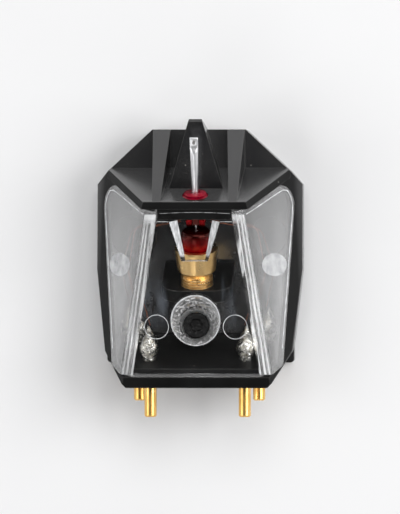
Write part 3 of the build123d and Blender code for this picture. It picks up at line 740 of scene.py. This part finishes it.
turns = [2 * math.pi * step / SINK_STEPS for step in range(SINK_STEPS)]
FACE_CORNERS = ((0.02, 0.01), (0.98, 0.01), (0.98, 0.03), (0.02, 0.03))
cone = [[sink_point(turn, *corner) for corner in FACE_CORNERS] for turn in turns]
add_trim("countersink_face", skin_through(cone, closed=True), sink_plastic)
RIM_CORNERS = ((0.9, 0.02), (1.0, 0.02), (1.0, 0.06), (0.9, 0.06))
rim = [[sink_point(turn, *corner) for corner in RIM_CORNERS] for turn in turns]
add_trim("countersink_rim", skin_through(rim, closed=True), frost_and_highlight_plastic)

# %% [markdown]
# ## Ridges and window edges
# The strips along the ridges and the rounded edges of the windows shine, and that shine is painted. The
# strips are thin sheets with streaks of painted highlight, stronger on the right where the right lamp falls,
# and a painted highlight at their front ends; the edges are fine white beads, painted highlights that follow
# the sill and the front of each window.

# %% Ridge lines
WAVER_SHARE = 0.22
ridge_highlight_sheet, tree, shader, where = start_finish("ridge_highlight_sheet")
regions = use_group(tree, cover_regions, {"Vector": where})
spot = add_node(tree, "SeparateXYZ", {"Vector": where})
inner_edge = value_range(
    tree, spot.outputs["Y"], 2.0 * MM, -14.0 * MM, RIDGE_AT_ORIGIN - 0.85 * MM, RIDGE_AT_ORIGIN - 1.2 * MM
)
strip_share = add_node(
    tree, "MapRange", {"Value": regions.outputs["Beyond"], "From Min": inner_edge}, From_Max=RIDGE_AT_ORIGIN
)
from_ridge = strip_share.outputs["Result"]
drawn_out = add_node(tree, "Mapping", {"Vector": where})
drawn_out.inputs["Scale"].default_value = (1.0, 0.2, 1.0)
waver = add_node(tree, "TexNoise", {"Vector": drawn_out.outputs["Vector"]}, Scale=900.0, Detail=4.0)
shifted = scaled_sum(tree, waver.outputs["Fac"], WAVER_SHARE, from_ridge)
# The white lines along each strip are painted highlights.
RIDGE_HIGHLIGHTS = [(0.1, 0.0), (0.13, 0.85), (0.18, 0.7), (0.26, 0.03), (0.44, 0.03), (0.5, 0.85), (0.62, 0.9)]
RIDGE_HIGHLIGHTS += [(0.67, 0.05), (0.8, 0.2), (0.88, 0.9), (0.94, 0.75), (0.98, 0.25), (1.0, 0.2)]
greys = [(share, (white, white, white)) for share, white in RIDGE_HIGHLIGHTS]
lines = colour_ramp(tree, shifted, greys)
cloudy = value_range(tree, waver.outputs["Fac"], 0.35, 0.65, 0.4, 1.0)
streaked = product(tree, lines, cloudy)
# The right strip carries more painted highlight, because the right lamp falls on it.
right_lit_share = value_range(tree, spot.outputs["X"], -MM, MM, 0.48, 0.85)
highlight_streaks = product(tree, streaked, right_lit_share)
# A painted highlight at the front end of each strip, stronger on the left.
flare = value_range(
    tree, regions.outputs["Beyond"], RIDGE_AT_ORIGIN - 1.22 * MM, RIDGE_AT_ORIGIN - 1.16 * MM, 0.0, 1.0
)
front_end = value_range(tree, spot.outputs["Y"], 1.1 * MM, 1.7 * MM, 0.0, 1.0)
cloudy_flare = product(tree, flare, cloudy)
front_highlight_mask = product(tree, cloudy_flare, front_end)
front_highlight_share = value_range(tree, spot.outputs["X"], -MM, MM, 0.75, 0.4)
front_highlight = product(tree, front_highlight_mask, front_highlight_share)
opacity = add_node(tree, "Math", {0: highlight_streaks, 1: front_highlight}, operation="MAXIMUM").outputs[0]
tree.links.new(opacity, shader.inputs["Alpha"])
shader.inputs["Base Color"].default_value = (0.9, 0.91, 0.92, 1.0)
shader.inputs["Roughness"].default_value = 0.3

# %% Ridge strips
STRIP_FRONT, STRIP_LONG, STRIP_STEPS = 2.1, 15.9, 24
STRIP_INNER, STRIP_OUTER = 1.27, 0.03
lower = Vector((0.0, 0.0, -0.02))
for side, label in SIDES:
    sections = []
    for step in range(STRIP_STEPS + 1):
        y = STRIP_FRONT - STRIP_LONG * step / STRIP_STEPS
        inner = Vector((side * (ridge_x(y) - STRIP_INNER), y, roof_z(y) + 0.004))
        outer = Vector((side * (ridge_x(y) - STRIP_OUTER), y, roof_z(y) - RIDGE_DROP + 0.014))
        sections.append([point * MM for point in (inner, outer, outer + lower, inner + lower)])
    add_trim("ridge_highlight_strip_" + label, skin_through(sections), ridge_highlight_sheet, smooth=False)


# %% Window edges
def bead(path, radius, sides=8):
    """Sections of a fine bead along a path in millimetres."""
    sections = []
    for place, point in enumerate(path):
        ahead = (path[min(place + 1, len(path) - 1)] - path[max(place - 1, 0)]).normalized()
        across = ahead.cross(Vector((0.0, 0.0, 1.0))).normalized()
        up = across.cross(ahead)
        turns = [2 * math.pi * n / sides for n in range(sides)]
        ring = [across * math.cos(turn) + up * math.sin(turn) for turn in turns]
        sections.append([(point + spoke * radius) * MM for spoke in ring])
    return sections


EDGE_PATH = [(-11.2, 7.6), (-6.0, 6.55), (-1.0, 5.6), (2.2, 4.97), (3.2, 4.86), (4.0, 5.1)]
EDGE_PATH += [(4.55, 5.6), (4.6, 6.3), (4.1, 7.6), (2.6, 11.2), (2.15, 12.35)]
for side, label in SIDES:
    path = [Vector((side * (window_x(y, z) - 0.03), y, z)) for y, z in EDGE_PATH]
    # Each white bead is a painted highlight along the window's edge.
    add_trim("window_edge_" + label, skin_through(bead(path, 0.06)), frost_and_highlight_plastic)

# %% [markdown]
# ## Roof edges
# Beside the notch the roof ends in a sharp front edge that catches the light as a fine line, made as a
# painted highlight: a thin white bead.

# %% Roof edges
EDGE_INNER, EDGE_LONG, EDGE_STEPS, EDGE_DROP = 2.6, 1.1, 8, 0.04
for side, label in SIDES:
    places = [EDGE_INNER + EDGE_LONG * step / EDGE_STEPS for step in range(EDGE_STEPS + 1)]
    path = [Vector((side * x, ROOF_FRONT_Y, ROOF_FRONT_Z - EDGE_DROP)) for x in places]
    add_trim("roof_edge_" + label, skin_through(bead(path, 0.03)), edge_highlight_plastic)

# %% [markdown]
# ## Window reflection
# The side windows are seen at a low angle, so they mirror the table and look milky: paler away from the ridge
# and towards the rear. A white sheet over each window carries that painted reflection. Its rows run at one
# height each, from the raked rear edge or the sill to the leaning front edge, whose lower corner is round.

# %% Window reflection
window_reflection_sheet, tree, shader, where = start_finish("window_reflection_sheet")
regions = use_group(tree, cover_regions, {"Vector": where})
reflection_end = RIDGE_AT_ORIGIN + 4.0 * MM
# Painted reflection of the table: whiter away from the ridge and towards the rear.
outward = value_range(tree, regions.outputs["Beyond"], RIDGE_AT_ORIGIN, reflection_end, 0.02, 0.26)
flow = add_node(tree, "Mapping", {"Vector": where})
flow.inputs["Scale"].default_value = (1.0, 0.25, 0.6)
veils = add_node(tree, "TexNoise", {"Vector": flow.outputs["Vector"]}, Scale=420.0, Detail=6.0)
uneven = value_range(tree, veils.outputs["Fac"], 0.3, 0.7, 0.45, 1.35)
drifting = product(tree, outward, uneven)
spot = add_node(tree, "SeparateXYZ", {"Vector": where})
rearward = value_range(tree, spot.outputs["Y"], 3.0 * MM, -10.0 * MM, 0.3, 1.15)
opacity = product(tree, drifting, rearward)
tree.links.new(opacity, shader.inputs["Alpha"])
tree.links.new(
    colour_ramp(tree, veils.outputs["Fac"], [(0.3, (0.8, 0.81, 0.83)), (0.7, (0.92, 0.92, 0.92))]),
    shader.inputs["Base Color"],
)
shader.inputs["Roughness"].default_value = 0.4
REFLECTION_ROWS, REFLECTION_STEPS = 24, 20
SILL_RISE, RAKE_SLOPE = 0.19, math.tan(math.radians(27.0))
SILL_Y, SILL_Z = 2.9, 4.7
REAR_Y, REAR_Z = -13.98, 9.947
RIDGE_FRONT_Z, WINDOW_FRONT_Y = 12.45, 2.35
CORNER_Y, CORNER_Z, CORNER_R, CORNER_TOP = 3.13, 6.49, 1.84, 7.2
REFLECTION_LOW, REFLECTION_HIGH = 4.8, 12.35


def reflection_row(side, z):
    """A thin loop on the window at one height, from its rear end to its front end."""
    sill = SILL_Y - (z - SILL_Z) / SILL_RISE
    rake = REAR_Y + (REAR_Z - z) * RAKE_SLOPE
    ridge = ROOF_FRONT_Y + (z - RIDGE_FRONT_Z) / ROOF_SLOPE
    rear = max(sill, rake, ridge)
    front = WINDOW_FRONT_Y + (BAR_Z - z) * FRONT_LEAN
    if z < CORNER_TOP:
        front = CORNER_Y + math.sqrt(CORNER_R**2 - (z - CORNER_Z) ** 2)
    spots = [rear + (front - rear) * step / REFLECTION_STEPS for step in range(REFLECTION_STEPS + 1)]
    outer = [Vector((side * (window_x(y, z) + 0.012), y, z)) * MM for y in spots]
    return outer + [Vector((side * (window_x(y, z) + 0.003), y, z)) * MM for y in reversed(spots)]


heights = [REFLECTION_LOW + (REFLECTION_HIGH - REFLECTION_LOW) * step / REFLECTION_ROWS for step in range(REFLECTION_ROWS + 1)]
for side, label in SIDES:
    rows = [reflection_row(side, z) for z in heights]
    add_trim("window_reflection_" + label, skin_through(rows), window_reflection_sheet, smooth=False)

# %% [markdown]
# ## Roof reflection
# Beside the countersink the polished roof carries a faint bluish sheet, drawn out along the roof: a painted
# reflection of the sky.

# %% Roof reflection
roof_reflection_sheet, tree, shader, where = start_finish("roof_reflection_sheet")
spot = add_node(tree, "SeparateXYZ", {"Vector": where})
flow = add_node(tree, "Mapping", {"Vector": where})
flow.inputs["Scale"].default_value = (1.0, 0.22, 0.4)
# Streaks of painted sky reflection, drawn out along the roof.
sky_streaks = add_node(tree, "TexNoise", {"Vector": flow.outputs["Vector"]}, Scale=900.0, Detail=3.0)
reflection_strength = value_range(tree, sky_streaks.outputs["Fac"], 0.45, 0.7, 0.0, 0.06)
front_fade = value_range(tree, spot.outputs["Y"], -3.6 * MM, -6.5 * MM, 0.0, 1.0)
rear_fade = value_range(tree, spot.outputs["Y"], -9.5 * MM, -6.5 * MM, 0.0, 1.0)
faded = product(tree, reflection_strength, front_fade)
opacity = product(tree, faded, rear_fade)
tree.links.new(opacity, shader.inputs["Alpha"])
shader.inputs["Base Color"].default_value = (0.62, 0.7, 0.82, 1.0)
shader.inputs["Roughness"].default_value = 0.5
FILM_STEPS = 18
FILM_FRONT, FILM_LONG = -3.6, 6.0
FILM_INNER, FILM_INSET = 2.65, 1.32
for side, label in SIDES:
    sections = []
    for step in range(FILM_STEPS + 1):
        y = FILM_FRONT - FILM_LONG * step / FILM_STEPS
        inner, outer = [Vector((side * x, y, roof_z(y))) for x in (FILM_INNER, ridge_x(y) - FILM_INSET)]
        corners = ((inner, 0.012), (outer, 0.012), (outer, 0.004), (inner, 0.004))
        sections.append([(point + roof_normal * lift) * MM for point, lift in corners])
    add_trim("roof_reflection_" + label, skin_through(sections), roof_reflection_sheet, smooth=False)

# %% [markdown]
# ## Front lip
# Behind the bar the front edge of the cover's roof shows as a fine bright arch on the ledge, made as a
# painted highlight: a thin white bead.

# %% Front lip
LIP_HALF, LIP_STEPS, LIP_Y, LIP_ARCH = 3.5, 16, 2.2, 0.12
LEDGE_Y, LEDGE_Z = 2.27, 12.43
lip_path = []
for step in range(LIP_STEPS + 1):
    x = -LIP_HALF + 2 * LIP_HALF * step / LIP_STEPS
    y = LIP_Y + LIP_ARCH * (1 - (x / LIP_HALF) ** 2)
    lip_path.append(Vector((x, y, LEDGE_Z + (y - LEDGE_Y) * FRONT_LEAN)))
add_trim("front_lip", skin_through(bead(lip_path, 0.025)), edge_highlight_plastic)

# %% [markdown]
# ## Ejector marks
# The pins that push a moulding out of its mould leave round marks. Two rings show under the roof beside the
# screw, and one pale disc on each window. They were pressed along the mould's draw, so they are circles from
# above.

# %% Ejector marks
MARK_STEPS = 48
mark_turns = [2 * math.pi * n / MARK_STEPS for n in range(MARK_STEPS)]
circle = [Vector((math.cos(turn), math.sin(turn), 0)) for turn in mark_turns]
ROOF_MARK_X, ROOF_MARK_Y = 3.92, -9.0
WINDOW_MARK, WINDOW_MARK_R = Vector((7.73, -2.86, 0)), 1.15
RING_CORNERS = ((1.17, 0.875), (1.22, 0.875), (1.22, 0.91), (1.17, 0.91))
for side, label in SIDES:
    ring_sections = []
    for spoke in circle:
        corners = []
        for radius, depth in RING_CORNERS:
            spot = Vector((side * ROOF_MARK_X, ROOF_MARK_Y, 0)) + spoke * radius
            corners.append(Vector((spot.x, spot.y, roof_z(spot.y) - depth)) * MM)
        ring_sections.append(corners)
    add_trim("roof_mark_" + label, skin_through(ring_sections, closed=True), frost_and_highlight_plastic)
    disc = []
    spots = [WINDOW_MARK + spoke * WINDOW_MARK_R for spoke in circle]
    for lift in (0.05, 0.03):
        disc.append([Vector((side * spot.x, spot.y, window_z(spot.x, spot.y) + lift)) * MM for spot in spots])
    add_trim("window_mark_" + label, skin_through(disc), mark_plastic, smooth=False)

# %% [markdown]
# ## Solder drops
# A solderer leaves no turned shapes. Each drop wets the rear wall, swells round the pin tail and draws out to
# a point towards its lead. Layers of noise dent it, and the noise differs from drop to drop.

# %% Solder drops
DROP_LONG = 3.36
DROP_PROFILE = [(-0.5, 0.5), (-0.1, 0.62), (0.4, 0.78), (0.9, 0.95), (1.3, 1.0), (1.7, 0.93)]
DROP_PROFILE += [(2.1, 0.74), (2.5, 0.5), (2.9, 0.31), (3.2, 0.2), (DROP_LONG, 0.06)]
DROP_SIDES = 40


def drop_sections(centre, seed):
    """Dented rings of one drop, from the wall to its point."""
    sections = []
    for ahead, radius in DROP_PROFILE:
        ring = []
        for n in range(DROP_SIDES):
            turn = 2 * math.pi * n / DROP_SIDES
            spoke = Vector((math.cos(turn), 0.0, math.sin(turn)))
            spot = spoke * radius + Vector((0.0, ahead, 0.0))
            broad_dent = noise.noise(spot * 1.1 + Vector((seed, 0, 0))) * 0.16
            fine_dent = noise.noise(spot * 3.4 + Vector((0, seed, 0))) * 0.07
            dent = broad_dent + fine_dent
            swing = Vector((0.1 * math.sin(seed + ahead), 0.0, 0.06 * math.cos(2 * seed + ahead)))
            ring.append((centre + swing * max(ahead, 0) / DROP_LONG + spot + spoke * radius * dent) * MM)
        sections.append(ring)
    return sections


WALL_FOOT = {"inner": (4.71, -12.2, 7.3), "outer": (5.98, -10.468, 3.9)}
for seed, place in enumerate(PLACES):
    side = -1 if place.startswith("left") else 1
    x, y, z = WALL_FOOT[place.split("_")[1]]
    foot = Vector((side * (x + 0.15), y, z))
    sections = drop_sections(foot, 3.7 * seed)
    drop = add_piece("solder_drop_" + place, skin_through(sections), metals["solder"], "chassis")
    smoother = drop.modifiers.new("flow", "SUBSURF")
    smoother.levels = smoother.render_levels = 2
    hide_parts("solder_" + place)

# %% [markdown]
# ## Coils
# Each coil is a few layers of enamelled copper hair wire. Side by side turns on a round core show as fine
# ribs, so the profile of a coil is a row of small arcs turned round the arm of the former.

# %% Coils
AXIS_Y, COIL_BACK = 4.05, 2.75
axis_mouth = Vector((0.0, AXIS_Y, BAR_Z - (AXIS_Y - BAR_Y) / FRONT_LEAN))
up_from_axis = Vector((0.0, -math.sin(AXIS_TILT), math.cos(AXIS_TILT)))
coil_centre = axis_mouth + back_along_axis * COIL_BACK
COIL_TURNS, COIL_INNER, COIL_OUTER, COIL_LONG, COIL_START = 7, 0.2, 0.6, 0.6, 0.34
COIL_STEPS = 40
RIB_HIGH, CROWN_HIGH, COIL_EASE = 0.035, 0.1, 0.12
coil_profile = [(COIL_START, COIL_INNER)]
for turn in range(COIL_TURNS):
    for share in (0.1, 0.3, 0.5, 0.7, 0.9):
        bulge = RIB_HIGH * math.sin(math.pi * share)
        crown = CROWN_HIGH * (1 - ((turn + share) / COIL_TURNS * 2 - 1) ** 4)
        along = COIL_START + COIL_LONG * (turn + share) / COIL_TURNS
        coil_profile.append((along, COIL_OUTER - COIL_EASE + crown + bulge))
coil_profile.append((COIL_START + COIL_LONG, COIL_INNER))
for side, label in SIDES:
    sections = []
    for step in range(COIL_STEPS):
        angle = 2 * math.pi * step / COIL_STEPS
        spoke = back_along_axis * math.cos(angle) + up_from_axis * math.sin(angle)
        offsets = [Vector((side * along, 0, 0)) + spoke * radius for along, radius in coil_profile]
        sections.append([(coil_centre + offset) * MM for offset in offsets])
    mesh = skin_through(sections, closed=True)
    coil = add_piece("wound_coil_" + label, mesh, metals["coil_copper"], "stylus_assembly")
    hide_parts("coil_" + label)

# %% [markdown]
# ## Pressed tube
# The cantilever is a drawn tube that a press closed at its tip. Sections along the axis change from a circle
# to a flat oblong; the exponent of a superellipse makes both, so the press mark is smooth.

# %% Pressed tube
TUBE_SIDES, TUBE_STEPS = 36, 48
TUBE_REAR, TUBE_LONG, TAPER_LONG = 2.4, 8.5, 7.0
ROOT_R, TIP_R, FLAT_HALF = 0.27, 0.4, 0.13
PRESS_START, PRESS_BLEND, PRESS_SPREAD, PRESS_SQUARE = -4.5, 0.85, 0.01, 0.6
TUBE_END = (-6.12, 0.39, 0.1, 0.45)


def oblong(back, half_wide, half_thick, power):
    """A superellipse section of the tube at a distance back along the axis."""
    ring = []
    for n in range(TUBE_SIDES):
        turn = 2 * math.pi * (n + 0.5) / TUBE_SIDES
        wide = math.copysign(abs(math.cos(turn)) ** power, math.cos(turn)) * half_wide
        high = math.copysign(abs(math.sin(turn)) ** power, math.sin(turn)) * half_thick
        ring.append((axis_mouth + back_along_axis * back + Vector((wide, 0, 0)) + up_from_axis * high) * MM)
    return ring


tube_sections = []
for step in range(TUBE_STEPS + 1):
    back = TUBE_REAR - TUBE_LONG * step / TUBE_STEPS
    pressed = min(max((PRESS_START - back) / PRESS_BLEND, 0.0), 1.0)
    pressed = pressed * pressed * (3 - 2 * pressed)
    radius = ROOT_R + (TIP_R - ROOT_R) * min((TUBE_REAR - back) / TAPER_LONG, 1.0)
    half_thick = radius + (FLAT_HALF - radius) * pressed
    half_wide = radius + PRESS_SPREAD * pressed
    tube_sections.append(oblong(back, half_wide, half_thick, 1 - PRESS_SQUARE * pressed))
tube_sections.append(oblong(*TUBE_END))
mesh = skin_through(tube_sections)
tube = add_piece("pressed_tube", mesh, drawn_tube, "stylus_assembly")
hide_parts("cantilever")

# %% [markdown]
# ## Soft bush
# The bush in the mouth of the sleeve is moulded rubber, so its face runs smoothly into its round side.

# %% Soft bush
DOME = [(3.66, 0.24), (3.63, 0.4), (3.62, 0.9), (3.66, 1.12), (3.75, 1.28), (3.9, 1.4), (4.1, 1.46)]
DOME += [(4.4, 1.48), (5.88, 1.48), (5.9, 1.44), (5.9, 0.24)]


def turned(profile, steps):
    """Sections of a profile of (distance back, radius) turned round the axis of the generator."""
    sections = []
    for step in range(steps):
        angle = 2 * math.pi * step / steps
        spoke = Vector((math.cos(angle), 0, 0)) + up_from_axis * math.sin(angle)
        offsets = [back_along_axis * back + spoke * radius for back, radius in profile]
        sections.append([(axis_mouth + offset) * MM for offset in offsets])
    return sections


mesh = skin_through(turned(DOME, 64), closed=True)
soft_bush = add_piece("soft_bush", mesh, dark_rubber, "suspension")
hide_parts("suspension_bush")

# %% [markdown]
# ## Seal lip
# Where the tube leaves the seal, a soft lip closes the gap round it. It moves with the tube and stays just
# clear of the seal, so it sits in front of the dished face.

# %% Seal lip
LIP_PROFILE = [(-0.17, 0.33), (-0.17, 1.06), (-0.19, 1.13), (-0.22, 1.1)]
LIP_PROFILE += [(-0.26, 0.9), (-0.31, 0.6), (-0.35, 0.33)]
mesh = skin_through(turned(LIP_PROFILE, 40), closed=True)
add_piece("seal_lip", mesh, red_rubber, "stylus_assembly")
